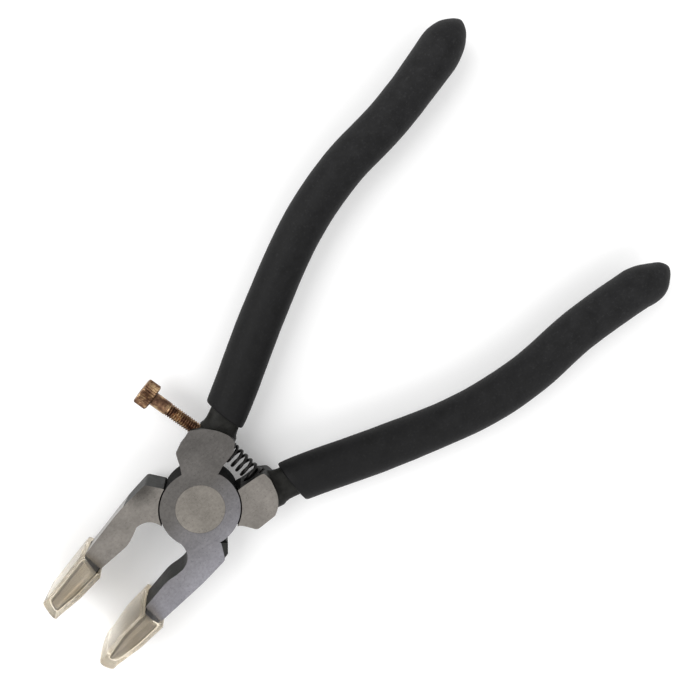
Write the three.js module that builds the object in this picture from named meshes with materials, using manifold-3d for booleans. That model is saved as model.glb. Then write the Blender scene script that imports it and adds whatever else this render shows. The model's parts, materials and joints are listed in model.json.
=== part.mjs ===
// Running pliers for stained glass: two lapped forgings on a rivet, a return spring, an adjusting
// screw, dipped grips and soft jaw boots. Millimetres. The origin is on the pivot axis at the hub's
// back face, +X runs towards the handle ends, +Y towards half A's handle, +Z out of the front face.
// Half B is built in half A's own coordinates and then turned half a turn about the tool's long axis.

import * as THREE from 'three';
import { mergeVertices } from 'three/addons/utils/BufferGeometryUtils.js';
import Module from 'manifold-3d';

// Driving dimensions.
const THICKNESS = 12.5;                 // forged body, front face to back face
const CLEARANCE = 0.3;                  // between neighbouring pieces
const HUB_RADIUS = 11.1;                // the round lap of each half
const LAP_WALL_RADIUS = 11.5;           // the wall that the other half's lap turns in
const HEAD_RADIUS = 6.85;               // rivet head, flush with the hub
const HEAD_DEPTH = 1.4;
const SHAFT_RADIUS = 4.2;
const TANG_RADIUS = 4.8;                // handle bar where it enters the grip, across the plane
const TANG_END_RADIUS = 3.9;
const TANG_FLATNESS = 0.8;              // bar height over its width
const TANG_LENGTH = 128;
const TANG_NOSE = 6;
const GRIP_FLATNESS = 0.95;
const GRIP_NOSE = 12;                   // length of the blunt rounded end
const SCREW_RADIUS = 1.95;
const SCREW_POINT_RADIUS = 1.1;         // plain end that stands inside the spring
const SCREW_POINT_LENGTH = 4;
const SCREW_REACH = 25.9;               // underside of the head to the point
const SCREW_HEAD_RADIUS = 3.85;
const SCREW_HEAD_HEIGHT = 4;
const SPRING_RADIUS = 2.43;             // to the middle of the wire
const WIRE_RADIUS = 0.45;
const SPRING_TURNS = 6;
const SEAT_RADIUS = 3.45;
const SEAT_DEPTH = 1.2;
const SEAT_OFFSET = 4.9;                // seat faces from the plane between the handles
const BOOT_WALL = 0.95;
const BOOT_END_WALL = 1.9;
const BOOT_OVERLAP = 0.6;               // how far the boot reaches past the plate's root
const PLATE_WIDTH = 19.6;               // jaw plate across the glass, at its biting face
const PLATE_BACK_WIDTH = 14.5;
const PLATE_EDGE_SHARE = 0.45;          // how much of the plate's depth keeps the full width
const PLATE_BOW = 0.6;                  // rise of the convex jaw, fall of the concave one
const ROUND_SEGMENTS = 40;
const BAR_SEGMENTS = 16;
const BAR_RINGS = 18;
const COIL_STEPS = 14;                  // along the wire, for each turn
const WIRE_SIDES = 6;

const MID_PLANE = THICKNESS / 2;
const LAP_FACE = MID_PLANE + CLEARANCE / 2;
const SPRING_X = 16.2;
const SCREW_TIP = new THREE.Vector3(15.7, SEAT_OFFSET + 0.1, MID_PLANE);
const SCREW_LEAN = 0.147;                // radians off -Y, the point leaning towards the handles
const SCREW_AXIS = new THREE.Vector3(Math.sin(SCREW_LEAN), -Math.cos(SCREW_LEAN), 0);

// The two handles: each centreline runs from inside the shoulder to the end of its grip, and the
// dipped grips differ a little in thickness. A mouth's slant is its lean from square to X, radians.
const HANDLES = {
  convex: {
    line: handleLine([
      [14, 10.4], [25.7, 14.8], [49, 25.8], [73.8, 35.9],
      [93.3, 40.2], [113.4, 41.3], [133.2, 44.4], [146.8, 47.5],
    ]),
    gripRadius: 6.25,
    gripEndRadius: 6.7,
    mouth: { x: 22.9, y: 13.6, slant: 0.17 },
  },
  concave: {
    line: handleLine([
      [14, 11.1], [25.7, 15.5], [49, 26.5], [73.8, 36.6],
      [93.3, 40.9], [113.4, 42], [133.2, 45.3], [146.8, 48.7],
    ]),
    gripRadius: 6.6,
    gripEndRadius: 6.7,
    mouth: { x: 22.6, y: 14.2, slant: 0.22 },
  },
};

// Where the two jaws differ: stations along each plate, and the y of its biting face and back there.
const ARM_END_X = -29.6;
const JAWS = {
  convex: {
    stations: [-31.4, -39, -46.3],
    bites: [-9.2, -9.4, -10.9],
    backs: [-15.2, -15, -14],
    bow: PLATE_BOW,
    armBite: -9.1,
    armBack: -15.2,
    knee: [-20.8, -8.1],
    heels: [[-14.4, -15.75], [-5.5, -15.4]],
  },
  concave: {
    stations: [-31.4, -39, -45.4],
    bites: [-8.2, -7.9, -8.4],
    backs: [-12.9, -11.9, -10.9],
    bow: -PLATE_BOW,
    armBite: -7.45,
    armBack: -13.3,
    knee: [-20.7, -6.9],
    heels: [[-14.8, -15.6], [-5.6, -15.7]],
  },
};

const wasm = await Module();
wasm.setup();

// A smooth line through points half way through the thickness.
function handleLine(points) {
  return new THREE.CatmullRomCurve3(points.map(([x, y]) => new THREE.Vector3(x, y, MID_PLANE)));
}

// A closed three.js geometry as a manifold solid.
function toSolid(geometry) {
  const bare = geometry.clone();
  bare.deleteAttribute('normal');
  bare.deleteAttribute('uv');
  const merged = mergeVertices(bare, 1e-4);
  const vertProperties = new Float32Array(merged.attributes.position.array);
  const triVerts = new Uint32Array(merged.index.array);
  return new wasm.Manifold(new wasm.Mesh({ numProp: 3, vertProperties, triVerts }));
}

// A manifold solid back as a three.js geometry.
function toGeometry(solid) {
  const { vertProperties, triVerts } = solid.getMesh();
  const geometry = new THREE.BufferGeometry();
  geometry.setAttribute('position', new THREE.Float32BufferAttribute(vertProperties, 3));
  geometry.setIndex(new THREE.Uint32BufferAttribute(triVerts, 1));
  geometry.computeVertexNormals();
  return geometry;
}

// A flat outline raised from one height to another.
function plate(shape, low, high) {
  const settings = { depth: high - low, bevelEnabled: false, curveSegments: 8 };
  const geometry = new THREE.ExtrudeGeometry(shape, settings);
  geometry.translate(0, 0, low);
  return toSolid(geometry);
}

// A round bar along the pivot axis.
function post(radius, low, high) {
  const geometry = new THREE.CylinderGeometry(radius, radius, high - low, ROUND_SEGMENTS);
  geometry.rotateX(Math.PI / 2);
  geometry.translate(0, 0, (low + high) / 2);
  return toSolid(geometry);
}

// A turned shape from [radius, height] pairs that start and end on the axis.
function turned(profile, segments) {
  const points = profile.map(([radius, height]) => new THREE.Vector2(radius, height));
  return new THREE.LatheGeometry(points, segments);
}

// Bends a shape turned about +Y along a handle's centreline, its height becoming distance along it.
function bendAlong(line, geometry, flatness) {
  const position = geometry.attributes.position;
  for (let i = 0; i < position.count; i += 1) {
    const along = THREE.MathUtils.clamp(position.getY(i) / line.getLength(), 0, 1);
    const centre = line.getPointAt(along);
    const forward = line.getTangentAt(along);
    const sideways = position.getX(i);
    const upwards = position.getZ(i) * flatness;
    position.setXYZ(i, centre.x + forward.y * sideways, centre.y - forward.x * sideways, centre.z + upwards);
  }
  return geometry;
}

// A bar profile with rings close enough together to follow the bends, and a rounded far end.
function barProfile(startRadius, endRadius, start, end, nose) {
  const straightEnd = end - nose;
  const profile = [[0, start]];
  for (let i = 0; i <= BAR_RINGS; i += 1) {
    const t = i / BAR_RINGS;
    const radius = THREE.MathUtils.lerp(startRadius, endRadius, t);
    profile.push([radius, THREE.MathUtils.lerp(start, straightEnd, t)]);
  }
  for (const [lengthShare, radiusShare] of [[0.34, 0.95], [0.6, 0.79], [0.83, 0.5], [0.95, 0.27]]) {
    profile.push([endRadius * radiusShare, straightEnd + nose * lengthShare]);
  }
  profile.push([0, end]);
  return profile;
}

// A jaw plate: a box whose stations along the jaw set its biting face, back and widths, bowed across
// the glass. The growth moves every long face out by the same amount.
function jawPlate(stations, bow, growth) {
  const geometry = new THREE.BoxGeometry(1, 1, 1, stations.length - 1, 2, 10);
  const position = geometry.attributes.position;
  for (let i = 0; i < position.count; i += 1) {
    const index = Math.round((0.5 - position.getX(i)) * (stations.length - 1));
    const { x, bite, back, width, backWidth } = stations[index];
    const across = position.getZ(i) * 2;
    const depth = [0, PLATE_EDGE_SHARE, 1][Math.round((0.5 - position.getY(i)) * 2)];
    const halfWidth = (depth === 1 ? backWidth : width) / 2 + growth;
    const y = THREE.MathUtils.lerp(bite + growth, back - growth, depth) - bow * across * across * (1 - depth);
    position.setXYZ(i, x, y, MID_PLANE + across * halfWidth);
  }
  return toSolid(geometry);
}

// The stations of one jaw's plate, with its root and end moved along the jaw.
function plateStations(kind, rootShift, endShift) {
  const { stations, bites, backs } = JAWS[kind];
  const shifts = [rootShift, 0, endShift];
  return stations.map((x, i) => (
    { x: x + shifts[i], bite: bites[i], back: backs[i], width: PLATE_WIDTH, backWidth: PLATE_BACK_WIDTH }
  ));
}

// The shoulder that carries the handle, the screw and the spring seat.
function shoulderOutline() {
  const corners = [
    [0, 0], [3.4, 10.7], [4.7, 12.2], [6.7, 16], [13.2, 17.3], [16.4, 15.1],
    [18.5, 12.2], [19.8, 8.9], [19.8, 6.1], [18, SEAT_OFFSET], [12.6, 4.3], [11.2, 3.8],
  ];
  return new THREE.Shape(corners.map(([x, y]) => new THREE.Vector2(x, y)));
}

// The jaw's arm, from the hub to the root of its plate.
function armOutline(kind) {
  const { armBite, armBack, knee, heels } = JAWS[kind];
  const shape = new THREE.Shape();
  shape.moveTo(0, 0);
  shape.lineTo(-10.6, -3.2);
  shape.quadraticCurveTo(-11.4, -8.4, -16, -8.8);
  shape.lineTo(...knee);
  shape.lineTo(ARM_END_X, armBite);
  shape.lineTo(ARM_END_X, armBack);
  for (const heel of heels) shape.lineTo(...heel);
  shape.lineTo(-2.6, -10.8);
  shape.closePath();
  return shape;
}

// One forging: shoulder, arm and jaw plate at full thickness, the lap at half thickness, and the tang.
function forging(kind) {
  const { armBite, armBack, bow } = JAWS[kind];
  const arm = { x: ARM_END_X + 1, bite: armBite, back: armBack, width: THICKNESS, backWidth: THICKNESS };
  const stations = [arm, ...plateStations(kind, 0, 0)];
  const tangProfile = barProfile(TANG_RADIUS, TANG_END_RADIUS, 0, TANG_LENGTH, TANG_NOSE);
  const bar = turned(tangProfile, BAR_SEGMENTS);
  const tang = toSolid(bendAlong(HANDLES[kind].line, bar, TANG_FLATNESS));
  return plate(shoulderOutline(), 0, THICKNESS)
    .add(plate(armOutline(kind), 0, THICKNESS))
    .add(jawPlate(stations, bow, 0))
    .add(tang)
    .subtract(post(LAP_WALL_RADIUS, -1, LAP_FACE))
    .add(post(HUB_RADIUS, LAP_FACE, THICKNESS))
    .subtract(post(SHAFT_RADIUS + CLEARANCE, -1, THICKNESS + 1))
    .subtract(post(HEAD_RADIUS + CLEARANCE, THICKNESS - HEAD_DEPTH - CLEARANCE, THICKNESS + 1))
    .subtract(springSeat());
}

// The shallow round pocket that holds one end of the spring.
function springSeat() {
  const height = SEAT_OFFSET + SEAT_DEPTH;
  const pocket = new THREE.CylinderGeometry(SEAT_RADIUS, SEAT_RADIUS, height, BAR_SEGMENTS);
  pocket.translate(SPRING_X, height / 2, MID_PLANE);
  return toSolid(pocket);
}

// Turns a solid from +Y onto the screw's axis, with its base at a distance back from the point.
function alongScrew(geometry, distanceBack) {
  const turn = new THREE.Quaternion().setFromUnitVectors(new THREE.Vector3(0, 1, 0), SCREW_AXIS);
  geometry.applyQuaternion(turn);
  const base = SCREW_TIP.clone().addScaledVector(SCREW_AXIS, -distanceBack);
  geometry.translate(base.x, base.y, base.z);
  return geometry;
}

// The adjusting screw: a cap head, a long shank and a plain point.
function adjustingScrew() {
  const shankLength = SCREW_REACH - SCREW_POINT_LENGTH;
  const chamfer = 0.4;
  return alongScrew(turned([
    [0, -SCREW_HEAD_HEIGHT],
    [SCREW_HEAD_RADIUS - chamfer, -SCREW_HEAD_HEIGHT],
    [SCREW_HEAD_RADIUS, chamfer - SCREW_HEAD_HEIGHT],
    [SCREW_HEAD_RADIUS, 0],
    [SCREW_RADIUS, 0],
    [SCREW_RADIUS, shankLength],
    [SCREW_POINT_RADIUS, shankLength + chamfer],
    [SCREW_POINT_RADIUS, SCREW_REACH],
    [0, SCREW_REACH],
  ], 24), SCREW_REACH);
}

// The hole that the screw runs in.
function screwHole() {
  const length = 30;
  const radius = SCREW_RADIUS + CLEARANCE;
  const hole = new THREE.CylinderGeometry(radius, radius, length, BAR_SEGMENTS);
  return toSolid(alongScrew(hole, length / 2 - SEAT_DEPTH));
}

// The helix that the spring's wire follows, along Y between the two seat floors.
class SpringHelix extends THREE.Curve {
  getPoint(t, target = new THREE.Vector3()) {
    const half = SEAT_OFFSET + SEAT_DEPTH - CLEARANCE - WIRE_RADIUS;
    const angle = t * SPRING_TURNS * 2 * Math.PI;
    const x = SPRING_X + SPRING_RADIUS * Math.cos(angle);
    const z = MID_PLANE + SPRING_RADIUS * Math.sin(angle);
    return target.set(x, THREE.MathUtils.lerp(half, -half, t), z);
  }
}

function returnSpring() {
  const corners = Array.from({ length: WIRE_SIDES }, (_, i) => (
    new THREE.Vector2(WIRE_RADIUS, 0).rotateAround(new THREE.Vector2(), (i / WIRE_SIDES) * 2 * Math.PI)
  ));
  const settings = {
    steps: SPRING_TURNS * COIL_STEPS,
    extrudePath: new SpringHelix(),
    bevelEnabled: false,
  };
  return new THREE.ExtrudeGeometry(new THREE.Shape(corners), settings);
}

// The rivet: a shaft with a flush head at each face.
function pivotRivet() {
  const geometry = turned([
    [0, 0],
    [HEAD_RADIUS, 0],
    [HEAD_RADIUS, HEAD_DEPTH],
    [SHAFT_RADIUS, HEAD_DEPTH],
    [SHAFT_RADIUS, THICKNESS - HEAD_DEPTH],
    [HEAD_RADIUS, THICKNESS - HEAD_DEPTH],
    [HEAD_RADIUS, THICKNESS],
    [0, THICKNESS],
  ], ROUND_SEGMENTS);
  return geometry.rotateX(Math.PI / 2);
}

// A dipped grip: a thick skin round the tang with a blunt end and a slanted mouth.
function grip(kind) {
  const { line, gripRadius, gripEndRadius, mouth } = HANDLES[kind];
  const boreFlatness = (TANG_RADIUS * TANG_FLATNESS + CLEARANCE) / (TANG_RADIUS + CLEARANCE);
  const boreEnd = TANG_LENGTH + CLEARANCE;
  const bore = barProfile(TANG_RADIUS + CLEARANCE, TANG_END_RADIUS + CLEARANCE, 0, boreEnd, TANG_NOSE);
  const outer = barProfile(gripRadius, gripEndRadius, 0, line.getLength(), GRIP_NOSE);
  const skin = toSolid(bendAlong(line, turned(outer, BAR_SEGMENTS), GRIP_FLATNESS));
  const hollow = toSolid(bendAlong(line, turned(bore, BAR_SEGMENTS), boreFlatness));
  const trimmer = new THREE.BoxGeometry(40, 60, 40);
  trimmer.translate(-20, 0, 0);
  trimmer.rotateZ(mouth.slant);
  trimmer.translate(mouth.x, mouth.y, MID_PLANE);
  return toGeometry(skin.subtract(hollow).subtract(toSolid(trimmer)));
}

// A soft boot over one jaw plate, open towards the pivot.
function jawBoot(kind) {
  const { bow } = JAWS[kind];
  const outerStations = plateStations(kind, BOOT_OVERLAP, -CLEARANCE - BOOT_END_WALL);
  const innerStations = plateStations(kind, BOOT_OVERLAP * 2, -CLEARANCE);
  const shell = jawPlate(outerStations, bow, BOOT_WALL + CLEARANCE);
  const hollow = jawPlate(innerStations, bow, CLEARANCE);
  return toGeometry(shell.subtract(hollow));
}

// Colours.
const finishes = {
  steel: { color: '#8f8b8c', roughness: 0.42, metalness: 1 },
  rivetSteel: { color: '#a3a093', roughness: 0.4, metalness: 1 },
  bronzedSteel: { color: '#a5703d', roughness: 0.4, metalness: 1 },
  blackSteel: { color: '#1d1c1b', roughness: 0.4, metalness: 1 },
  blackVinyl: { color: '#242426', roughness: 0.8, metalness: 0 },
  clearVinyl: { color: '#cfc3a6', roughness: 0.35, metalness: 0 },
};

function piece(name, geometry, finish) {
  const mesh = new THREE.Mesh(geometry, new THREE.MeshStandardMaterial(finishes[finish]));
  mesh.name = name;
  return mesh;
}

const halfA = new THREE.Group();
halfA.add(piece('half_a', toGeometry(forging('convex').subtract(screwHole())), 'steel'));
halfA.add(piece('grip_a', grip('convex'), 'blackVinyl'));
halfA.add(piece('jaw_boot_a', jawBoot('convex'), 'clearVinyl'));

const halfB = new THREE.Group();
halfB.add(piece('half_b', toGeometry(forging('concave')), 'steel'));
halfB.add(piece('grip_b', grip('concave'), 'blackVinyl'));
halfB.add(piece('jaw_boot_b', jawBoot('concave'), 'clearVinyl'));
halfB.rotation.x = Math.PI;
halfB.position.z = THICKNESS;

const pliers = new THREE.Group();
pliers.add(halfA, halfB);
pliers.add(piece('pivot_rivet', pivotRivet(), 'rivetSteel'));
pliers.add(piece('return_spring', returnSpring(), 'blackSteel'));
pliers.add(piece('adjusting_screw', adjustingScrew(), 'bronzedSteel'));

export default pliers;
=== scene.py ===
# The running pliers' looks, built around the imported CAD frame.
#
# Shapes are drawn in millimetres in half A's own coordinates: the pivot axis is Z, the handle leaves
# towards +X and +Y, the jaw towards -X and -Y. Half B's shapes are turned half a turn about the
# tool's long axis, and every finished mesh is scaled to metres.

import json
import math

import bmesh
import bpy
from mathutils import Matrix, Vector, noise


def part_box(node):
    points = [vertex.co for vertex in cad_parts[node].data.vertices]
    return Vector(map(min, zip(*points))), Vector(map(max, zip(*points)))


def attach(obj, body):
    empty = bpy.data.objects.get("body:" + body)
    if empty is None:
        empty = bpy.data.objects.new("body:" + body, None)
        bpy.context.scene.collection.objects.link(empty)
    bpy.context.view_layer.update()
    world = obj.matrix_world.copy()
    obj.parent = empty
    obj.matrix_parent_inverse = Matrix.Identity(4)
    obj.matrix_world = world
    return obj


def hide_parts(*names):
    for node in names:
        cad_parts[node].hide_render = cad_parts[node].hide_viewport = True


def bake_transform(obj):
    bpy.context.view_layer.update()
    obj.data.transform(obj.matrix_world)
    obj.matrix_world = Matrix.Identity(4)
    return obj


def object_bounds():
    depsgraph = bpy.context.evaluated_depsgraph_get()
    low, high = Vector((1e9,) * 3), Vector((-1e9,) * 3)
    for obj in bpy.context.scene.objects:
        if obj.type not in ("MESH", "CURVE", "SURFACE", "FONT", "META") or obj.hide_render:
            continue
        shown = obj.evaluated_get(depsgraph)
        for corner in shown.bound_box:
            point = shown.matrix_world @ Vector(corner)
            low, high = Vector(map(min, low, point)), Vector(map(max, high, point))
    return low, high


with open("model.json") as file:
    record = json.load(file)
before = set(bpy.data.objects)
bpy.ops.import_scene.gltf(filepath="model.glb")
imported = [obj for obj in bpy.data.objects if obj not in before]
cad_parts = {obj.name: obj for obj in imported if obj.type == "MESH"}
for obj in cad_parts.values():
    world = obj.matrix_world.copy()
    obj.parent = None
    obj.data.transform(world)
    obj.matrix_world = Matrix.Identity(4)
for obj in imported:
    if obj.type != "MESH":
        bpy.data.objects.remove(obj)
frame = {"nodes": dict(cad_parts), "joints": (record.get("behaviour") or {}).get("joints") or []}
cad_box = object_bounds()

MM = 0.001


# ---------------------------------------------------------------- sizes, a few read from the frame

def span(node):
    """A CAD node's lowest and highest corner, in millimetres."""
    low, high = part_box(node)
    return low / MM, high / MM


_, rivet_high = span("pivot_rivet")
spring_low, spring_high = span("return_spring")
THICKNESS = rivet_high.z
MID = THICKNESS / 2
HEAD_RADIUS = rivet_high.x
HUB_RADIUS = 11.1
LAP_WALL_RADIUS = 11.5
LAP_FACE = MID + 0.05
SHAFT_RADIUS = 4.2
SHAFT_CLEARANCE = 0.05
HEAD_CLEARANCE = 0.02
HEAD_DEPTH = 1.4
HEAD_SEAT_DEPTH = 1.5
EDGE_BEVEL = 0.16
SPRING_X = (spring_low.x + spring_high.x) / 2
SEAT_RADIUS = 3.3
SEAT_OFFSET = 4.9
SEAT_DEPTH = 1.2
BOOT_WALL = 1.2
BOOT_GAP = 0.12
BOOT_CORNER = 0.8
PLATE_CORNER = 1.2
TANG_RADIUS = 4.3
TANG_END_RADIUS = 3.8
TANG_FLATNESS = 0.8
TANG_LENGTH = 127
TANG_FLARE = 0.8
TANG_FLARE_START = 4.6
TANG_FLARE_REACH = 0.6
TANG_ROOT = 0.5
TANG_ROOT_END = 26
TANG_ROOT_REACH = 14
TANG_NOSE = 4
GRIP_FLATNESS = 0.95
GRIP_NOSE = 12
GRIP_GAP = 0.06
GRIP_LUMP = 0.05
CORNER_CUT = 0.6
FINE_SIDES = 96
COARSE_SIDES = 40
UP = Vector((0, 0, 1))

# A jaw plate's measures at three stations: its root, its middle and its end.
JAWS = {
    "convex": {
        "stations": (-31.4, -39, -46.3),
        "bites": (-9.2, -9.4, -10.9),
        "backs": (-15.2, -15, -14.0),
        "halves": (9.8, 9.6, 9.3),
        "back_halves": (7.25, 7.25, 7.0),
        "edge_share": 0.45,
        "bow": 0.6,
        "arm": (-9.1, -15.2),
        "arm_end": -30.3,
        "boot_mouth": -30.3,
        "boot_end": -48.5,
    },
    "concave": {
        "stations": (-31.7, -39, -46.2),
        "bites": (-8.2, -7.9, -8.4),
        "backs": (-12.9, -11.9, -10.9),
        "halves": (9.8, 9.6, 9.3),
        "back_halves": (7.6, 7.4, 7.2),
        "edge_share": 0.25,
        "bow": -0.6,
        "arm": (-7.45, -13.3),
        "arm_end": -30.8,
        "boot_mouth": -30.8,
        "boot_end": -47.6,
    },
}

# The handles' centreline, and what each dipped grip measures along it: where its mouth is and how
# that slants, its radius at distances along the line, and its lean at distances back from the tip.
HANDLE_POINTS = (
    (14, 10.4), (25.7, 14.8), (49, 25.8), (73.8, 35.9),
    (93.3, 40.2), (113.4, 41.3), (133.2, 44.4), (146.65, 47.48),
)
GRIPS = {
    "half_a": {
        "offset": 0,
        "mouth": 9.1,
        "slant": -0.25,
        "radii": ((0, 6.2), (20, 6.25), (36, 6.25), (56, 6.1), (90, 6.2), (115, 6.2), (128, 6.5)),
        "lean": ((0, -0.4), (2, -0.33), (4, 0), (8, 0.14), (12, 0)),
        "seed": 3.1,
    },
    "half_b": {
        "offset": 0.7,
        "mouth": 9.0,
        "slant": -0.28,
        "radii": ((0, 6.5), (20, 6.55), (36, 6.6), (56, 6.35), (76, 6.65), (100, 6.5), (128, 6.55)),
        "lean": ((0, -0.5), (2, -0.2), (4, 0.45), (6, 0.6), (8, 0.44), (12, 0)),
        "seed": 11.7,
    },
}


# ---------------------------------------------------------------- curves and outlines

def mix(a, b, t):
    return a + (b - a) * t


def soften(t):
    """A smooth step from 0 to 1."""
    t = min(max(t, 0), 1)
    return t * t * (3 - 2 * t)


def arc(radius, start, end, steps):
    """Points on a circle round the pivot, angles in degrees."""
    angles = [math.radians(mix(start, end, i / steps)) for i in range(steps + 1)]
    return [Vector((radius * math.cos(a), radius * math.sin(a))) for a in angles]


def bend(a, control, b, steps):
    """A quadratic curve from a to b."""
    points = []
    for i in range(steps + 1):
        t = i / steps
        points.append(Vector(a).lerp(Vector(control), t).lerp(Vector(control).lerp(Vector(b), t), t))
    return points


def rounded(corners, steps=5):
    """A closed outline whose corners (x, y, cut) are rounded over that distance each way."""
    outline = []
    for i, (x, y, cut) in enumerate(corners):
        corner = Vector((x, y))
        if cut == 0:
            outline.append(corner)
            continue
        before = Vector(corners[i - 1][:2]) - corner
        after = Vector(corners[(i + 1) % len(corners)][:2]) - corner
        start = corner + before.normalized() * min(cut, before.length * 0.48)
        end = corner + after.normalized() * min(cut, after.length * 0.48)
        outline.extend(bend(start, corner, end, steps))
    return outline


class HandlePath:
    """The handle's centreline as a smooth curve that can be read by distance."""

    def __init__(self, points, steps=40):
        knots = [Vector(p) for p in points]
        first = knots[0] * 2 - knots[1]
        last = knots[-1] * 2 - knots[-2]
        knots = [first, *knots, last]
        self.points = []
        for a, b, c, d in zip(knots, knots[1:], knots[2:], knots[3:]):
            start = (c - a) * (c - b).length / ((c - b).length + (b - a).length)
            end = (d - b) * (c - b).length / ((d - c).length + (c - b).length)
            for i in range(steps):
                t = i / steps
                self.points.append(
                    b * (2 * t ** 3 - 3 * t ** 2 + 1) + start * (t ** 3 - 2 * t ** 2 + t)
                    + c * (3 * t ** 2 - 2 * t ** 3) + end * (t ** 3 - t ** 2)
                )
        self.points.append(knots[-2])
        self.distances = [0]
        for a, b in zip(self.points, self.points[1:]):
            self.distances.append(self.distances[-1] + (b - a).length)
        self.length = self.distances[-1]

    def at(self, distance):
        """The point and the forward direction at a distance, straight on beyond either end."""
        i = 0
        while i < len(self.points) - 2 and self.distances[i + 1] < distance:
            i += 1
        forward = (self.points[i + 1] - self.points[i]).normalized()
        return self.points[i] + forward * (distance - self.distances[i]), forward

    def ring(self, distance, half_width, half_height, steps, slant=0, shift=0):
        """An oval ring across the path. The slant moves its sides along the path, the shift sideways."""
        ring = []
        for i in range(steps):
            angle = 2 * math.pi * i / steps
            sideways = half_width * math.cos(angle)
            centre, forward = self.at(distance + slant * sideways)
            right = Vector((forward.y, -forward.x))
            point = centre + right * (sideways + shift)
            ring.append(Vector((point.x, point.y, MID + half_height * math.sin(angle))))
        return ring


HANDLES = {
    half: HandlePath([(x, y + measures["offset"]) for x, y in HANDLE_POINTS])
    for half, measures in GRIPS.items()
}


def along(table, place):
    """The value at a place in a table of (place, value) pairs, read in straight lines."""
    for (a, low), (b, high) in zip(table, table[1:]):
        if place <= b:
            return mix(low, high, min(max((place - a) / (b - a), 0), 1))
    return table[-1][1]


# ---------------------------------------------------------------- mesh building

def new_object(name, bm):
    """A mesh object from a bmesh, with its faces turned outward."""
    bmesh.ops.recalc_face_normals(bm, faces=bm.faces)
    mesh = bpy.data.meshes.new(name)
    bm.to_mesh(mesh)
    bm.free()
    obj = bpy.data.objects.new(name, mesh)
    bpy.context.scene.collection.objects.link(obj)
    return obj


def loft(name, rings):
    """A closed skin over rings of equal length, capped at both ends."""
    bm = bmesh.new()
    made = [[bm.verts.new(p) for p in ring] for ring in rings]
    for a, b in zip(made, made[1:]):
        count = len(a)
        for i in range(count):
            j = (i + 1) % count
            bm.faces.new((a[i], a[j], b[j], b[i]))
    bm.faces.new(list(reversed(made[0])))
    bm.faces.new(made[-1])
    return new_object(name, bm)


def turned(name, profile, origin, axis, steps):
    """A shape turned about an axis, from (radius, distance) pairs, with a flat cap at both ends."""
    turn = UP.rotation_difference(axis)
    rings = []
    for radius, distance in profile:
        ring = []
        for i in range(steps):
            angle = 2 * math.pi * i / steps
            local = Vector((radius * math.cos(angle), radius * math.sin(angle), distance))
            ring.append(origin + turn @ local)
        rings.append(ring)
    return loft(name, rings)


def settle(obj):
    """Applies an object's modifiers to its mesh."""
    depsgraph = bpy.context.evaluated_depsgraph_get()
    made = bpy.data.meshes.new_from_object(obj.evaluated_get(depsgraph))
    obj.modifiers.clear()
    obj.data = made


def combine(obj, tool, operation):
    """Joins a tool solid to an object, or cuts it away, and removes the tool."""
    modifier = obj.modifiers.new(operation, "BOOLEAN")
    modifier.operation = operation
    modifier.solver = "EXACT"
    modifier.object = tool
    settle(obj)
    bpy.data.objects.remove(tool)


def clean(obj):
    """Merges close points and drops the edges that flat faces don't need."""
    bm = bmesh.new()
    bm.from_mesh(obj.data)
    bmesh.ops.remove_doubles(bm, verts=bm.verts, dist=0.01)
    bmesh.ops.dissolve_limit(bm, angle_limit=math.radians(0.4), verts=bm.verts, edges=bm.edges)
    bm.to_mesh(obj.data)
    bm.free()


def round_edges(obj, width, segments=2, angle=28):
    """Bevels an object's sharp edges."""
    modifier = obj.modifiers.new("edges", "BEVEL")
    modifier.width = width
    modifier.segments = segments
    modifier.limit_method = "ANGLE"
    modifier.angle_limit = math.radians(angle)
    settle(obj)


def shade_smooth(obj, angle=35, flat_faces=False):
    """Shades an object smooth apart from its sharp edges, and keeps large flat faces flat."""
    obj.data.polygons.foreach_set("use_smooth", [True] * len(obj.data.polygons))
    obj.data.set_sharp_from_angle(angle=math.radians(angle))
    if flat_faces:
        modifier = obj.modifiers.new("normals", "WEIGHTED_NORMAL")
        modifier.keep_sharp = True
        modifier.weight = 100
        settle(obj)


def finish_piece(obj, body, node, turned_over=False):
    """Turns half B's pieces over, scales a piece to metres and ties it to the frame."""
    place = Matrix.Scale(MM, 4)
    if turned_over:
        place = place @ Matrix.Translation((0, 0, THICKNESS)) @ Matrix.Rotation(math.pi, 4, "X")
    obj.data.transform(place)
    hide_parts(node)
    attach(obj, body)
    return obj


# ---------------------------------------------------------------- materials

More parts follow.
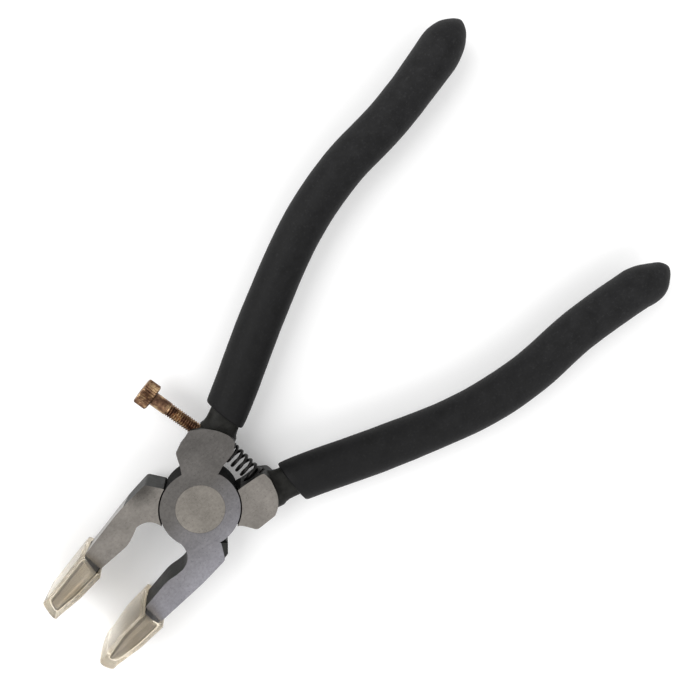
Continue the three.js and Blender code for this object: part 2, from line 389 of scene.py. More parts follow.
class Shader:
    """A Principled material and short calls for the nodes that feed it."""

    def __init__(self, name, **sockets):
        self.material = bpy.data.materials.new(name)
        self.material.use_nodes = True
        self.nodes = self.material.node_tree.nodes
        self.links = self.material.node_tree.links
        self.principled = self.nodes["Principled BSDF"]
        self.place = self.nodes.new("ShaderNodeTexCoord").outputs["Object"]
        for socket, value in sockets.items():
            self.principled.inputs[socket.replace("_", " ")].default_value = value

    def add(self, kind, inputs=(), **settings):
        node = self.nodes.new(kind)
        for key, value in settings.items():
            setattr(node, key, value)
        for key, value in dict(inputs).items():
            if isinstance(value, bpy.types.NodeSocket):
                self.links.new(value, node.inputs[key])
            else:
                node.inputs[key].default_value = value
        return node

    def stretched(self, scale, turn=(0, 0, 0)):
        """The object's coordinates, turned and then scaled."""
        mapping = self.add("ShaderNodeMapping", {"Vector": self.place, "Scale": scale, "Rotation": turn})
        return mapping.outputs["Vector"]

    def noise(self, scale, detail=4, roughness=0.55, vector=None):
        node = self.add(
            "ShaderNodeTexNoise",
            {"Vector": vector or self.place, "Scale": scale, "Detail": detail, "Roughness": roughness},
        )
        return node.outputs["Fac"]

    def ramp(self, value, stops):
        """A colour ramp from (place, colour or grey) stops."""
        node = self.add("ShaderNodeValToRGB", {"Fac": value})
        while len(node.color_ramp.elements) < len(stops):
            node.color_ramp.elements.new(0.5)
        for element, (place, colour) in zip(node.color_ramp.elements, stops):
            element.position = place
            element.color = (*colour, 1) if isinstance(colour, tuple) else (colour, colour, colour, 1)
        return node.outputs["Color"]

    def blend(self, factor, a, b, mode="MIX"):
        node = self.add("ShaderNodeMix", data_type="RGBA", blend_type=mode)
        for socket, value in ((node.inputs[0], factor), (node.inputs[6], a), (node.inputs[7], b)):
            if isinstance(value, bpy.types.NodeSocket):
                self.links.new(value, socket)
            else:
                socket.default_value = (*value, 1) if isinstance(value, tuple) else value
        return node.outputs[2]

    def axis(self, name):
        """One coordinate of the object's place, in metres."""
        return self.add("ShaderNodeSeparateXYZ", {"Vector": self.place}).outputs[name]

    def colour(self, value):
        self.links.new(value, self.principled.inputs["Base Color"])

    def rough(self, value, low, high):
        """Roughness that follows a 0 to 1 value between two limits."""
        node = self.add("ShaderNodeMapRange", {"Value": value, "To Min": low, "To Max": high})
        self.links.new(node.outputs["Result"], self.principled.inputs["Roughness"])

    def bump(self, heights):
        """Bumps from (value, height in metres) pairs, one on top of the other."""
        normal = None
        for value, height in heights:
            inputs = {"Height": value, "Distance": height, "Strength": 1.0}
            if normal:
                inputs["Normal"] = normal
            normal = self.add("ShaderNodeBump", inputs).outputs["Normal"]
        self.links.new(normal, self.principled.inputs["Normal"])


def ground_steel(name, near_handle, near_jaw, heel_shade=None):
    """Surface-ground steel: fine grinding lines, clouding, and a tint that drifts along the tool as a painted
    reflection.

    A painted shade (centre and reach, in metres) darkens the steel round one place.
    """
    s = Shader(name, Metallic=1.0)
    # Painted reflection: the tint slides from the handle's colour to the jaw's along Y.
    reflection_drift = s.add("ShaderNodeMapRange", {
        "Value": s.axis("Y"), "From Min": 0.004, "From Max": -0.016, "To Min": 0.0, "To Max": 1.0,
    }).outputs["Result"]
    tint = s.blend(reflection_drift, near_handle, near_jaw)
    clouds = s.ramp(s.noise(120, 5, 0.6), [(0.3, 0.8), (0.7, 1.12)])
    lines = s.noise(1.0, 3, 0.6, s.stretched((220, 9000, 400), (0, 0, 0.45)))
    fine = s.ramp(lines, [(0.3, 0.9), (0.7, 1.06)])
    specks_and_shade = s.ramp(s.noise(2600, 2, 0.5), [(0.58, 1.0), (0.72, 0.66)])
    grain = s.ramp(s.noise(1300, 5, 0.75), [(0.36, 0.86), (0.64, 1.1)])
    specks_and_shade = s.blend(1.0, specks_and_shade, grain, "MULTIPLY")
    # Painted shade: the steel darkens towards the given place.
    if heel_shade:
        centre, reach = heel_shade
        measure = s.add("ShaderNodeVectorMath", {0: s.place, 1: centre}, operation="DISTANCE")
        distance = measure.outputs["Value"]
        near = s.add("ShaderNodeMapRange", {"Value": distance, "From Max": reach}).outputs["Result"]
        specks_and_shade = s.blend(1.0, specks_and_shade, s.ramp(near, [(0.25, 0.4), (0.95, 1.0)]), "MULTIPLY")
    clouded = s.blend(1.0, tint, clouds, "MULTIPLY")
    lined = s.blend(1.0, clouded, fine, "MULTIPLY")
    s.colour(s.blend(1.0, lined, specks_and_shade, "MULTIPLY"))
    s.rough(s.noise(300, 4), 0.34, 0.52)
    s.bump([(lines, 0.000004), (s.noise(900, 3), 0.000006)])
    return s.material


def black_oxide():
    """Forged steel under a black finish, with scale, pits and rubbed spots."""
    s = Shader("black_oxide", Metallic=0.2, Specular_IOR_Level=0.15)
    scale = s.noise(700, 6, 0.65)
    rubbed = s.ramp(s.noise(160, 5, 0.6), [(0.52, 0.0), (0.72, 0.6)])
    base = s.ramp(scale, [(0.25, (0.006, 0.006, 0.005)), (0.8, (0.020, 0.020, 0.018))])
    s.colour(s.blend(rubbed, base, (0.045, 0.044, 0.041)))
    s.rough(scale, 0.38, 0.62)
    s.bump([(scale, 0.00004), (s.noise(3500, 2), 0.000012)])
    return s.material


def lap_painted_shade():
    """Painted shade for the gap round the lap: almost black, with dull specks."""
    s = Shader("lap_painted_shade", Metallic=0.0, Specular_IOR_Level=0.05)
    speckle = s.noise(1800, 4, 0.7)
    s.colour(s.ramp(speckle, [(0.4, (0.006, 0.006, 0.006)), (0.8, (0.022, 0.022, 0.021))]))
    s.rough(speckle, 0.7, 0.9)
    s.bump([(speckle, 0.00003)])
    return s.material


def spring_wire():
    """Oiled black spring wire with faint drawing lines."""
    s = Shader("spring_wire", Metallic=0.6, Specular_IOR_Level=0.5)
    patches = s.noise(500, 4)
    s.colour(s.ramp(patches, [(0.3, (0.006, 0.005, 0.005)), (0.8, (0.022, 0.020, 0.019))]))
    s.rough(patches, 0.25, 0.45)
    s.bump([(s.noise(2500, 3), 0.000006)])
    return s.material


def bronze():
    """Yellow-bronze plating, darkened in small random patches of painted shade."""
    s = Shader("bronze_plating", Metallic=1.0)
    patches = s.noise(420, 5, 0.6)
    warm = s.ramp(patches, [
        (0.3, (0.08, 0.036, 0.030)), (0.5, (0.26, 0.15, 0.09)), (0.66, (0.66, 0.46, 0.26)),
    ])
    # Painted shade, in small random patches over the whole screw.
    patchy_shade = s.ramp(s.noise(1500, 4, 0.7), [(0.35, 0.45), (0.6, 1.0)])
    s.colour(s.blend(1.0, warm, patchy_shade, "MULTIPLY"))
    s.rough(s.noise(800, 4), 0.26, 0.5)
    s.bump([(s.noise(2200, 3), 0.000008)])
    return s.material


def black_vinyl():
    """Matte dipped vinyl with a fine pebbled skin, with painted shade near the shoulder and painted light
    towards the handles' ends.
    """
    s = Shader("black_vinyl", Specular_IOR_Level=0.18)
    pebbles = s.noise(1300, 3, 0.6)
    mottle = s.noise(260, 5, 0.7)
    base = s.ramp(mottle, [(0.3, (0.0035, 0.0035, 0.0038)), (0.7, (0.0105, 0.0105, 0.011))])
    light = s.ramp(pebbles, [(0.55, 0.0), (0.75, 0.5)])
    # Painted light and shade: darker near the shoulder, lighter towards the handles' ends.
    painted_light_drift = s.add("ShaderNodeMapRange", {
        "Value": s.axis("X"), "From Min": 0.03, "From Max": 0.13,
    }).outputs["Result"]
    skin = s.blend(light, base, (0.022, 0.022, 0.023))
    s.colour(s.blend(1.0, skin, s.ramp(painted_light_drift, [(0.0, 0.62), (1.0, 1.5)]), "MULTIPLY"))
    s.rough(mottle, 0.5, 0.72)
    s.bump([(mottle, 0.00008), (pebbles, 0.00004)])
    return s.material


def clear_vinyl():
    """Cloudy, slightly yellowed translucent vinyl."""
    s = Shader("clear_vinyl", IOR=1.12, Transmission_Weight=0.93, Coat_Weight=0.25, Coat_Roughness=0.25)
    clouds = s.noise(180, 5, 0.6)
    s.colour(s.ramp(clouds, [(0.3, (0.88, 0.78, 0.61)), (0.7, (0.96, 0.90, 0.79))]))
    s.rough(s.noise(240, 4), 0.14, 0.26)
    s.bump([(s.noise(90, 3), 0.0001)])
    return s.material


# Half A's tint is a painted reflection: darker and warmer by the handle, lighter and bluer by the jaw.
GROUND_A = ground_steel("ground_steel_a", (0.122, 0.115, 0.109), (0.235, 0.231, 0.253))
# Half B's steel has painted shade round its arm's heel.
GROUND_B = ground_steel(
    "ground_steel_b", (0.207, 0.192, 0.175), (0.207, 0.192, 0.175), heel_shade=((-0.007, 0.0162, 0.0125), 0.0065),
)
RIVET_STEEL = ground_steel("rivet_steel", (0.217, 0.2, 0.178), (0.217, 0.2, 0.178))
# A lighter copy of the ground steel: painted light on the arms' backs and the jaws' flares.
GROUND_PAINTED_LIGHT = ground_steel("ground_steel_painted_light", (0.35, 0.34, 0.33), (0.35, 0.34, 0.33))
OXIDE = black_oxide()
# Painted shade for the gap round the lap.
LAP_SHADE = lap_painted_shade()
WIRE = spring_wire()
BRONZE = bronze()
GRIP_VINYL = black_vinyl()
BOOT_VINYL = clear_vinyl()


def paint(obj, materials, choose=lambda face: 0):
    """Gives each face the material whose index choose(face) returns."""
    obj.data.materials.clear()
    for material in materials:
        obj.data.materials.append(material)
    for face in obj.data.polygons:
        face.material_index = choose(face)


# ---------------------------------------------------------------- forgings

# Corners (x, y, cut) of the shoulder at the forging's own face (outer) and at the other (inner).
SHOULDER_OUTER = (
    (10.4, 3.6, 0.3), (12.6, 4.3, 0.6), (17.6, SEAT_OFFSET, 0.4), (20.0, 6.9, 0.8),
    (20.1, 9.2, 0.6), (19.0, 12.2, 1.2), (16.8, 15.4, 1.4), (13.3, 18.0, 0.5),
    (6.5, 16.2, 0.8), (4.4, 12.2, 1.2), (3.3, 10.6, 0),
)
SHOULDER_INNER = (
    (10.4, 3.5, 0.3), (12.4, 3.7, 0.6), (17.4, SEAT_OFFSET - 0.3, 0.4), (19.4, 5.2, 0.8),
    (19.4, 8.0, 0.6), (17.9, 12.2, 1.2), (15.9, 14.8, 1.4), (13.2, 16.3, 0.5),
    (6.85, 15.6, 0.8), (4.65, 11.5, 1.2), (3.3, 10.6, 0),
)
ARMS = {
    "convex": {
        "knee": ((-17.6, -8.7, 0.8), (-20.8, -8.1, 1.6)),
        "heel": ((-14.4, -15.75, 3.0), (-5.5, -15.4, 0.7)),
        "draft": 0,
    },
    "concave": {
        "knee": ((-17.6, -8.0, 0.8), (-20.7, -6.9, 1.6)),
        "heel": ((-14.8, -15.6, 4.0), (-5.6, -15.7, 0.7)),
        "draft": 0.5,
    },
}


def body_outline(kind, shoulder, draft):
    """The hub, one face's shoulder and the jaw arm as one outline. The draft moves the arm's back in."""
    arm_bite, arm_back = JAWS[kind]["arm"]
    arm_end = JAWS[kind]["arm_end"]
    (heel_x, heel_y, heel_cut), corner = ARMS[kind]["heel"]
    arm = rounded([
        (-10.6, -3.3, 0),
        *[(p.x, p.y, 0) for p in bend((-10.75, -4.4), (-11.5, -8.4), (-15.6, -8.85), 9)],
        *ARMS[kind]["knee"], (arm_end, arm_bite, 0), (arm_end, arm_back + draft, 0),
        (heel_x, heel_y + draft, heel_cut), corner, (-2.7, -10.9, 0.5),
    ])
    return [*arc(HUB_RADIUS, -102, 17, 26), *rounded(shoulder), *arc(HUB_RADIUS, 75, 195, 28), *arm]


def heel_lug():
    """The rough forged skin beyond the arm's heel, which drops away from the ground face."""
    top = ((-2.9, -10.5), (-2.75, -11.2), (-5.3, -14.9), (-6.2, -15.2), (-6.4, -13.4))
    edge = ((-1.7, -10.6), (-2.0, -12.9), (-4.2, -15.2), (-6.2, -15.4), (-6.4, -13.4))
    levels = ((0.4, edge), (THICKNESS - 2.2, edge), (THICKNESS - 0.25, top))
    return loft("heel_lug", [[Vector((x, y, z)) for x, y in outline] for z, outline in levels])


def section(x, bite, back, halves, bow, edge_share, cut, growth=0):
    """A ring across a jaw: a bowed biting face, square edges and a narrower back."""
    half, back_half = halves[0] + growth, halves[1] + growth
    bite += growth
    back -= growth
    edge = mix(bite, back, edge_share)
    face_steps = (-0.72, -0.45, -0.15, 0.15, 0.45, 0.72)
    corners = [
        (edge, half, cut), (back, back_half, cut * 1.4), (back, -back_half, cut * 1.4), (edge, -half, cut),
        (bite - bow, -half, cut), *[(bite - bow * t * t, half * t, 0) for t in face_steps],
        (bite - bow, half, cut),
    ]
    return [Vector((x, p.x, MID + p.y)) for p in rounded(corners, 4)]


def plate_at(kind, x):
    """A jaw plate's biting face, back and half widths at a place along it."""
    jaw = JAWS[kind]
    places = [-station for station in jaw["stations"]]
    values = [
        along(list(zip(places, jaw[measure])), -x) for measure in ("bites", "backs", "halves", "back_halves")
    ]
    return values[0], values[1], (values[2], values[3])


def tongue(distance, radius):
    """How much narrower a plate is at a distance from its end, for corners of that radius."""
    if distance >= radius:
        return 0
    return radius - math.sqrt(max(radius ** 2 - (radius - distance) ** 2, 0))


# A section's ring has 36 points; these stretches of it round the back's and the biting face's edges.
SECTION_POINTS = 36
DARK_SEGMENTS = {*range(5, 9), *range(10, 14), *range(20, 24), *range(31, 35)}
FLARE_STEPS = 6
PLATE_STEPS = 16


def jaw_plate(kind):
    """The flared plate at the end of a jaw, from a root hidden inside the arm."""
    jaw = JAWS[kind]
    root, _, end = jaw["stations"]
    arm_bite, arm_back = jaw["arm"]
    bite, back, halves = plate_at(kind, root)
    rings = []
    flare_start = jaw["arm_end"] + 0.4
    for i in range(FLARE_STEPS + 1):
        t = i / FLARE_STEPS
        wide = soften(t)
        hidden = 0.25 * (1 - t) ** 2
        rings.append(section(
            mix(flare_start, root, t), mix(arm_bite, bite, wide) - hidden, mix(arm_back, back, wide) + hidden,
            [mix(MID, half, wide) - hidden for half in halves], jaw["bow"] * wide, jaw["edge_share"],
            mix(0.25, 0.7, t),
        ))
    for i in range(1, PLATE_STEPS + 1):
        x = mix(root, end, 1 - (1 - i / PLATE_STEPS) ** 1.6)
        bite, back, halves = plate_at(kind, x)
        narrow = tongue(x - end, PLATE_CORNER)
        rings.append(section(
            x, bite, back, [half - narrow for half in halves], jaw["bow"], jaw["edge_share"], 0.7,
            -tongue(x - end, CORNER_CUT),
        ))
    return loft(f"plate_{kind}", rings)


def tang_root(distance):
    """How much the tang's half width grows near the shoulder, and how far its middle shifts inwards."""
    return TANG_ROOT * soften((TANG_ROOT_END - distance) / TANG_ROOT_REACH)


def tang_end(distance, reach_squared, least):
    """The share of its size that the tang keeps at a distance, rounding off over its last stretch."""
    past = max(distance - TANG_LENGTH + TANG_NOSE, 0)
    return math.sqrt(max(1 - past ** 2 / reach_squared, least))


def tang(half):
    """The bar that runs from the shoulder into the grip, flared where it leaves the shoulder."""
    rings = []
    for i in range(60):
        distance = mix(0, TANG_LENGTH, (i / 59) ** 1.6)
        radius = mix(TANG_RADIUS, TANG_END_RADIUS, distance / TANG_LENGTH)
        flare = TANG_FLARE * math.exp(-max(distance - TANG_FLARE_START, 0) / TANG_FLARE_REACH)
        root = tang_root(distance)
        end = tang_end(distance, 17, 0.02)
        wide, high = (radius + root + flare) * end, (radius * TANG_FLATNESS + flare) * end
        rings.append(HANDLES[half].ring(distance, wide, high, 32, shift=root))
    return loft("tang", rings)


def screw_line():
    """The middle of the screw's point, its axis and its length, from the CAD solid and the joint."""
    axis = Vector(next(j for j in frame["joints"] if j["name"] == "screw_travel")["axis"])
    turn = axis.rotation_difference(UP)
    points = [turn @ (v.co / MM) for v in frame["nodes"]["adjusting_screw"].data.vertices]
    low = [min(p[i] for p in points) for i in range(3)]
    high = [max(p[i] for p in points) for i in range(3)]
    middle = Vector(((low[0] + high[0]) / 2, (low[1] + high[1]) / 2, high[2]))
    return turn.inverted() @ middle, axis, high[2] - low[2]


SCREW_POINT, SCREW_AXIS, SCREW_LENGTH = screw_line()
SCREW_RADIUS = 1.95
SCREW_HEAD_RADIUS = 3.85
SCREW_HEAD_HEIGHT = 4
SCREW_NECK = 4.6
SCREW_PLAIN_END = 4.2
SCREW_POINT_RADIUS = 1.1
THREAD_PITCH = 0.7
THREAD_DEPTH = 0.40
HOLE_CLEARANCE = 0.12
HOLE_BEYOND = 1.2
HOLE_LENGTH = 24

# Places of the materials in a forging's list.
GROUND_INDEX, OXIDE_INDEX, LAP_SHADE_INDEX, PAINTED_LIGHT_INDEX = range(4)


def body_finish(face):
    """Ground steel on the flat faces, the lighter painted-light steel on the arms' backs, black oxide on the
    rest, and painted shade in the lap.
    """
    place = face.center
    if abs(face.normal.z) > 0.3 and not 0.2 < place.z < THICKNESS - 0.2:
        return GROUND_INDEX
    # Painted light: the arm's back takes the lighter steel.
    if place.x < -14.5 and place.y < -12 and face.normal.y < -0.6 and abs(face.normal.z) < 0.3:
        return PAINTED_LIGHT_INDEX
    # Painted shade: faces in the gap round the lap take the near-black material.
    in_lap = HUB_RADIUS - 0.3 < place.xy.length < LAP_WALL_RADIUS + 0.3
    return LAP_SHADE_INDEX if in_lap else OXIDE_INDEX


def plate_finish(face):
    """Ground steel with dark edges along the biting face, the back and the end of a jaw plate; the flare
    takes the lighter steel as painted light, with black oxide on its biting side.
    """
    pair, segment = divmod(face.index, SECTION_POINTS)
    if pair < FLARE_STEPS:
        # Painted light on the flare, black oxide on its biting side.
        return OXIDE_INDEX if 20 <= segment <= 34 else PAINTED_LIGHT_INDEX
    on_edge = segment in DARK_SEGMENTS
    at_end = pair >= FLARE_STEPS + PLATE_STEPS - 3
    return OXIDE_INDEX if on_edge or at_end else GROUND_INDEX


def forging(half, kind, ground):
    """One forging: hub, shoulder, arm, jaw plate and tang, with the lap, bore and seat cut in, and in half A
    the screw's hole.

    The spring's seat and the screw's hole are cut after the tang is joined on, or it would fill them.
    """
    draft = ARMS[kind]["draft"]
    levels = ((0, SHOULDER_INNER, 0), (THICKNESS, SHOULDER_OUTER, draft))
    outlines = [
        [Vector((p.x, p.y, z)) for p in body_outline(kind, shoulder, arm_draft)]
        for z, shoulder, arm_draft in levels
    ]
    obj = loft(f"{half}_forging", outlines)
    if kind == "convex":
        combine(obj, heel_lug(), "UNION")
    lap = turned("lap", [(LAP_WALL_RADIUS, -1), (LAP_WALL_RADIUS, LAP_FACE)], Vector(), UP, FINE_SIDES)
    combine(obj, lap, "DIFFERENCE")
    clean(obj)
    round_edges(obj, EDGE_BEVEL)
    finishes = (ground, OXIDE, LAP_SHADE, GROUND_PAINTED_LIGHT)
    paint(obj, finishes, body_finish)

    def join_black(tool, operation):
        paint(tool, finishes, lambda face: OXIDE_INDEX)
        combine(obj, tool, operation)

    head_floor = THICKNESS - HEAD_SEAT_DEPTH
    shaft_bore = SHAFT_RADIUS + SHAFT_CLEARANCE
    head_bore = HEAD_RADIUS + HEAD_CLEARANCE
    join_black(turned("bore", [
        (shaft_bore, -1), (shaft_bore, head_floor), (head_bore, head_floor), (head_bore, THICKNESS + 1),
    ], Vector(), UP, FINE_SIDES), "DIFFERENCE")
    join_black(tang(half), "UNION")
    join_black(turned("seat", [
        (SEAT_RADIUS, 0), (SEAT_RADIUS, SEAT_OFFSET + SEAT_DEPTH),
    ], Vector((SPRING_X, 0, MID)), Vector((0, 1, 0)), COARSE_SIDES), "DIFFERENCE")
    if half == "half_a":
        hole_radius = SCREW_RADIUS + HOLE_CLEARANCE
        join_black(turned("hole", [
            (hole_radius, -HOLE_BEYOND), (hole_radius, HOLE_LENGTH),
        ], SCREW_POINT, -SCREW_AXIS, COARSE_SIDES), "DIFFERENCE")
    plate = jaw_plate(kind)
    paint(plate, finishes, plate_finish)
    combine(obj, plate, "UNION")
    shade_smooth(obj, 32, flat_faces=True)
    return obj


finish_piece(forging("half_a", "convex", GROUND_A), "half_a", "half_a")
finish_piece(forging("half_b", "concave", GROUND_B), "half_b", "half_b", turned_over=True)


# ---------------------------------------------------------------- rivet

def rivet():
    """The rivet: a shaft between two flush heads with eased rims."""
    ease = 0.03
    obj = turned("rivet", [
        (HEAD_RADIUS - ease, 0), (HEAD_RADIUS, ease), (HEAD_RADIUS, HEAD_DEPTH), (SHAFT_RADIUS, HEAD_DEPTH),
        (SHAFT_RADIUS, THICKNESS - HEAD_DEPTH), (HEAD_RADIUS, THICKNESS - HEAD_DEPTH),
        (HEAD_RADIUS, THICKNESS - ease), (HEAD_RADIUS - ease, THICKNESS),
    ], Vector(), UP, FINE_SIDES)
    shade_smooth(obj, 30)
    paint(obj, (RIVET_STEEL,))
    return obj


finish_piece(rivet(), "half_a", "pivot_rivet")


# ---------------------------------------------------------------- spring

def spring():
    """The coil spring, its end turns closed up against the seats."""
    wire = 0.45
    coil = spring_high.x - SPRING_X - wire
    turns = 6.6
    reach = spring_high.y - wire
    end_share = 0.11
    closing = 0.55
    steps = 260
    sides = 12
    rings = []
    for i in range(steps + 1):
        t = i / steps
        angle = 2 * math.pi * turns * t
        run = min(max((t - end_share) / (1 - 2 * end_share), 0), 1)
        travelled = mix(t, run, closing)
        out = Vector((math.cos(angle), 0, math.sin(angle)))
        centre = Vector((SPRING_X, reach * (1 - 2 * travelled), MID)) + out * coil
        ring = []
        for k in range(sides):
            phi = 2 * math.pi * k / sides
            ring.append(centre + (out * math.cos(phi) + Vector((0, 1, 0)) * math.sin(phi)) * wire)
        rings.append(ring)
    obj = loft("spring_coil", rings)
    shade_smooth(obj, 50)
    paint(obj, (WIRE,))
    obj.data.transform(Matrix.Scale(MM, 4))
    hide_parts("return_spring")
    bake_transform(obj)
    return obj


spring()


# ---------------------------------------------------------------- adjusting screw

def screw():
    """The cap screw: knurled head with a hex socket, plain neck, cut thread and a plain point."""
    sides = 192
    thread_end = SCREW_LENGTH - SCREW_HEAD_HEIGHT - SCREW_PLAIN_END
    turn = UP.rotation_difference(SCREW_AXIS)
    top = SCREW_POINT - SCREW_AXIS * SCREW_LENGTH
    ridges = 32
    rings = []

    def ring(distance, radius_at):
        made = []
        for i in range(sides):
            angle = 2 * math.pi * i / sides
            radius = radius_at(angle)
            local = Vector((radius * math.cos(angle), radius * math.sin(angle), distance))
            made.append(top + turn @ local)
        rings.append(made)

    def knurl(depth):
        return lambda angle: SCREW_HEAD_RADIUS - depth * (0.5 - 0.5 * math.cos(angle * ridges)) ** 0.7

    def hexagon(across):
        return lambda angle: across / 2 / math.cos((angle + math.pi / 6) % (math.pi / 3) - math.pi / 6)

    socket = 3.2
    socket_depth = 2.1
    ring(socket_depth, hexagon(socket * 0.2))
    ring(socket_depth, hexagon(socket))
    ring(0.25, hexagon(socket))
    ring(0.0, hexagon(socket + 0.4))
    ring(0.0, lambda angle: SCREW_HEAD_RADIUS - 0.5)
    ring(0.12, lambda angle: SCREW_HEAD_RADIUS - 0.22)
    for t in (0.1, 0.2, 0.5, 0.8, 0.92):
        ring(SCREW_HEAD_HEIGHT * t, knurl(0.32 if 0.1 < t < 0.9 else 0.2))
    ring(SCREW_HEAD_HEIGHT - 0.1, lambda angle: SCREW_HEAD_RADIUS - 0.32)
    ring(SCREW_HEAD_HEIGHT, lambda angle: SCREW_HEAD_RADIUS - 0.5)
    ring(SCREW_HEAD_HEIGHT, lambda angle: SCREW_RADIUS + 0.25)
    ring(SCREW_HEAD_HEIGHT + 0.25, lambda angle: SCREW_RADIUS)
    ring(SCREW_HEAD_HEIGHT + SCREW_NECK, lambda angle: SCREW_RADIUS)
    start = SCREW_HEAD_HEIGHT + SCREW_NECK + 0.1
    stop = SCREW_HEAD_HEIGHT + thread_end
    count = int((stop - start) / (THREAD_PITCH / 8))
    for k in range(count + 1):
        distance = mix(start, stop, k / count)
        fade = min((distance - start) / THREAD_PITCH, (stop - distance) / THREAD_PITCH, 1)

        def thread(angle, distance=distance, fade=fade):
            phase = (distance / THREAD_PITCH - angle / (2 * math.pi)) % 1
            groove = max(1 - abs(phase - 0.5) * 2.6, 0)
            return SCREW_RADIUS - THREAD_DEPTH * fade * groove ** 0.9

        ring(distance, thread)
    ring(stop + 0.35, lambda angle: 1.25)
    ring(stop + 0.6, lambda angle: SCREW_POINT_RADIUS)
    ring(SCREW_LENGTH - 0.25, lambda angle: SCREW_POINT_RADIUS)
    ring(SCREW_LENGTH, lambda angle: 0.85)
    obj = loft("screw", rings)
    shade_smooth(obj, 40)
    paint(obj, (BRONZE,))
    return obj


finish_piece(screw(), "adjusting_screw", "adjusting_screw")


# ---------------------------------------------------------------- grips

def grip(half):
    """A dipped grip: a thick skin with a slanted, rounded mouth and a blunt nose."""
    measures = GRIPS[half]
    mouth = measures["mouth"]
    handle = HANDLES[half]
    sides = 44
    end = handle.length
    straight = end - GRIP_NOSE
    skin = []

    def add(distance, radius, slant=0.0, shift=0.0, flatness=GRIP_FLATNESS):
        skin.append(handle.ring(distance, radius, radius * flatness, sides, slant, shift))

    def mouth_slant(distance, reach):
        return measures["slant"] * soften(1 - (distance - mouth) / reach)

    bore_end = TANG_LENGTH + 0.4
    bore_steps = 23
    for i in range(bore_steps + 1):
        distance = mix(bore_end, mouth + 0.6, i / bore_steps)
        root = tang_root(distance)
        radius = mix(TANG_RADIUS, TANG_END_RADIUS, distance / TANG_LENGTH) + root + GRIP_GAP
        end_share = tang_end(distance, 20.5, 0.03)
        add(distance, radius * end_share, mouth_slant(distance, 8), root, TANG_FLATNESS)
    mouth_radius = along(measures["radii"], 0)
    for share, back in ((0.78, 0.18), (0.88, 0.0), (0.96, 0.15), (0.99, 0.5)):
        add(mouth + back, mouth_radius * share, measures["slant"])
    body_steps = 110
    for i in range(1, body_steps + 1):
        distance = mix(mouth + 0.9, straight, i / body_steps)
        add(distance, along(measures["radii"], distance), mouth_slant(distance, 12))
    nose_radius = along(measures["radii"], straight)
    nose_steps = 20
    for i in range(1, nose_steps + 1):
        left = GRIP_NOSE * max(1 - i / nose_steps, 0.002) ** 1.8
        share = (1 - (1 - left / GRIP_NOSE) ** 2.3) ** 0.69
        add(end - left, nose_radius * share, shift=-along(measures["lean"], left))
    obj = loft(f"grip_skin_{half[-1]}", skin)
    for vertex in obj.data.vertices:
        place = vertex.co * 0.16 + Vector((measures["seed"], 0, 0))
        unevenness = noise.noise(place) + 0.5 * noise.noise(vertex.co * 0.5)
        vertex.co += vertex.normal * GRIP_LUMP * unevenness
    shade_smooth(obj, 60)
    paint(obj, (GRIP_VINYL,))
    return obj


finish_piece(grip("half_a"), "half_a", "grip_a")
finish_piece(grip("half_b"), "half_b", "grip_b", turned_over=True)


# ---------------------------------------------------------------- jaw boots

def boot(name, kind):
    """A soft boot over a jaw plate: outer skin, rim and inner skin as one closed shell."""
    jaw = JAWS[kind]
    root, _, end = jaw["stations"]
    mouth = jaw["boot_mouth"]
    outer_end = jaw["boot_end"]
    rings = []

    def add(x, growth, corner_end, corner_radius, cut):
        bite, back, halves = plate_at(kind, x)
        narrow = tongue(x - corner_end, corner_radius)
        halves = [half - narrow for half in halves]
        rings.append(section(x, bite, back, halves, jaw["bow"], jaw["edge_share"], cut, growth))

    inner_steps = 14
    for i in range(inner_steps + 1):
        x = mix(end - BOOT_GAP, mouth, (i / inner_steps) ** 1.6)
        add(x, BOOT_GAP - tongue(x - end + BOOT_GAP, CORNER_CUT), end, PLATE_CORNER, 0.7)
    for growth, back in ((0.25, 0.12), (0.6, 0.2), (0.95, 0.1)):
        add(mouth + back, growth, end, PLATE_CORNER, 0.9)
    outer_steps = 22
    for i in range(outer_steps + 1):
        x = mix(mouth - 0.15, outer_end, 1 - (1 - i / outer_steps) ** 1.8)
        add(x, BOOT_WALL - tongue(x - outer_end, CORNER_CUT), outer_end, BOOT_CORNER, 0.9)
    obj = loft(name, rings)
    shade_smooth(obj, 50)
    paint(obj, (BOOT_VINYL,))
    return obj


finish_piece(boot("boot_a", "convex"), "half_a", "jaw_boot_a")
finish_piece(boot("boot_b", "concave"), "half_b", "jaw_boot_b", turned_over=True)


# ---------------------------------------------------------------- stage, light and camera

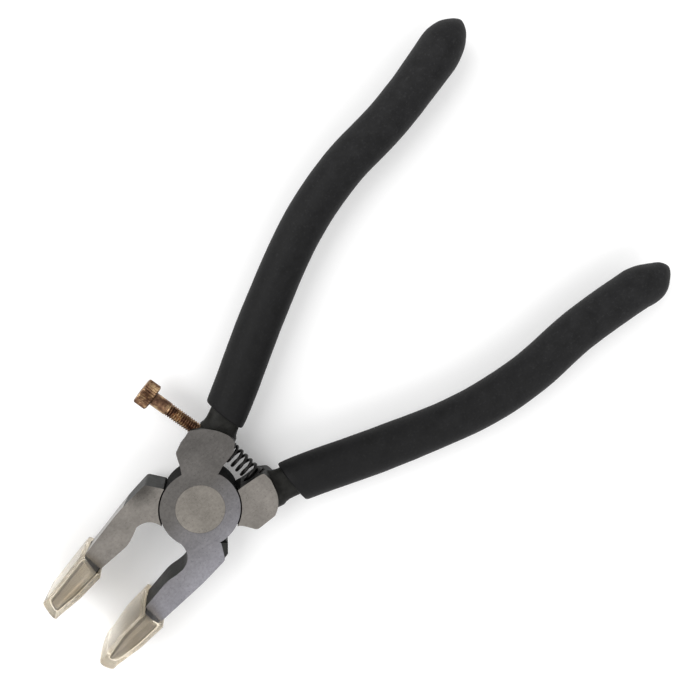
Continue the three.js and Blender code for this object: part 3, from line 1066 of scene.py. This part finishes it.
def floor():
    """A pale floor under the lowest point of the pliers."""
    reach = 3.0
    gap = 0.0002
    height = cad_box[0].z - gap
    corners = ((-1, -1), (1, -1), (1, 1), (-1, 1))
    bm = bmesh.new()
    bm.faces.new([bm.verts.new((x * reach, y * reach, height)) for x, y in corners])
    obj = new_object("floor", bm)
    s = Shader(
        "floor_paint", Roughness=0.9, Specular_IOR_Level=0.1,
        Emission_Color=(1, 1, 1, 1), Emission_Strength=0.1,
    )
    s.colour(s.ramp(s.noise(3, 2), [(0.3, 0.93), (0.7, 0.95)]))
    obj.data.materials.append(s.material)


def softbox(name, place, target, size, power):
    """A square area light that faces a target."""
    light = bpy.data.lights.new(name, "AREA")
    light.shape = "SQUARE"
    light.size = size
    light.energy = power
    obj = bpy.data.objects.new(name, light)
    obj.location = place
    obj.rotation_mode = "QUATERNION"
    obj.rotation_quaternion = (target - place).to_track_quat("-Z", "Y")
    bpy.context.scene.collection.objects.link(obj)


def lights():
    """A white world and two soft boxes above the tool."""
    world = bpy.data.worlds.new("studio")
    world.use_nodes = True
    world.node_tree.nodes["Background"].inputs["Color"].default_value = (1, 1, 1, 1)
    world.node_tree.nodes["Background"].inputs["Strength"].default_value = 0.75
    bpy.context.scene.world = world
    centre = (cad_box[0] + cad_box[1]) / 2
    softbox("key", centre + Vector((-0.25, 0.55, 0.75)), centre, 0.7, 5.0)
    softbox("fill", centre + Vector((-0.35, -0.5, 0.7)), centre, 0.8, 2.5)


def camera():
    """The camera looks down, leaning a little, with the handles running up and to the right."""
    target = Vector((60.7, 1.7, MID)) * MM
    back = Vector((-0.0278, 0.1903, 0.9813)).normalized()
    up = Vector((0.6957, 0.7086, -0.1176)).normalized()
    right = up.cross(back).normalized()
    data = bpy.data.cameras.new("camera")
    distance = 0.25
    data.lens = 45
    data.sensor_width = 36
    data.clip_start = 0.01
    data.clip_end = 10
    obj = bpy.data.objects.new("camera", data)
    turn = Matrix((right, back.cross(right), back)).transposed()
    obj.matrix_world = Matrix.Translation(target + back * distance) @ turn.to_4x4()
    bpy.context.scene.collection.objects.link(obj)
    bpy.context.scene.camera = obj


floor()
lights()
camera()
bpy.context.scene.view_settings.view_transform = "Standard"
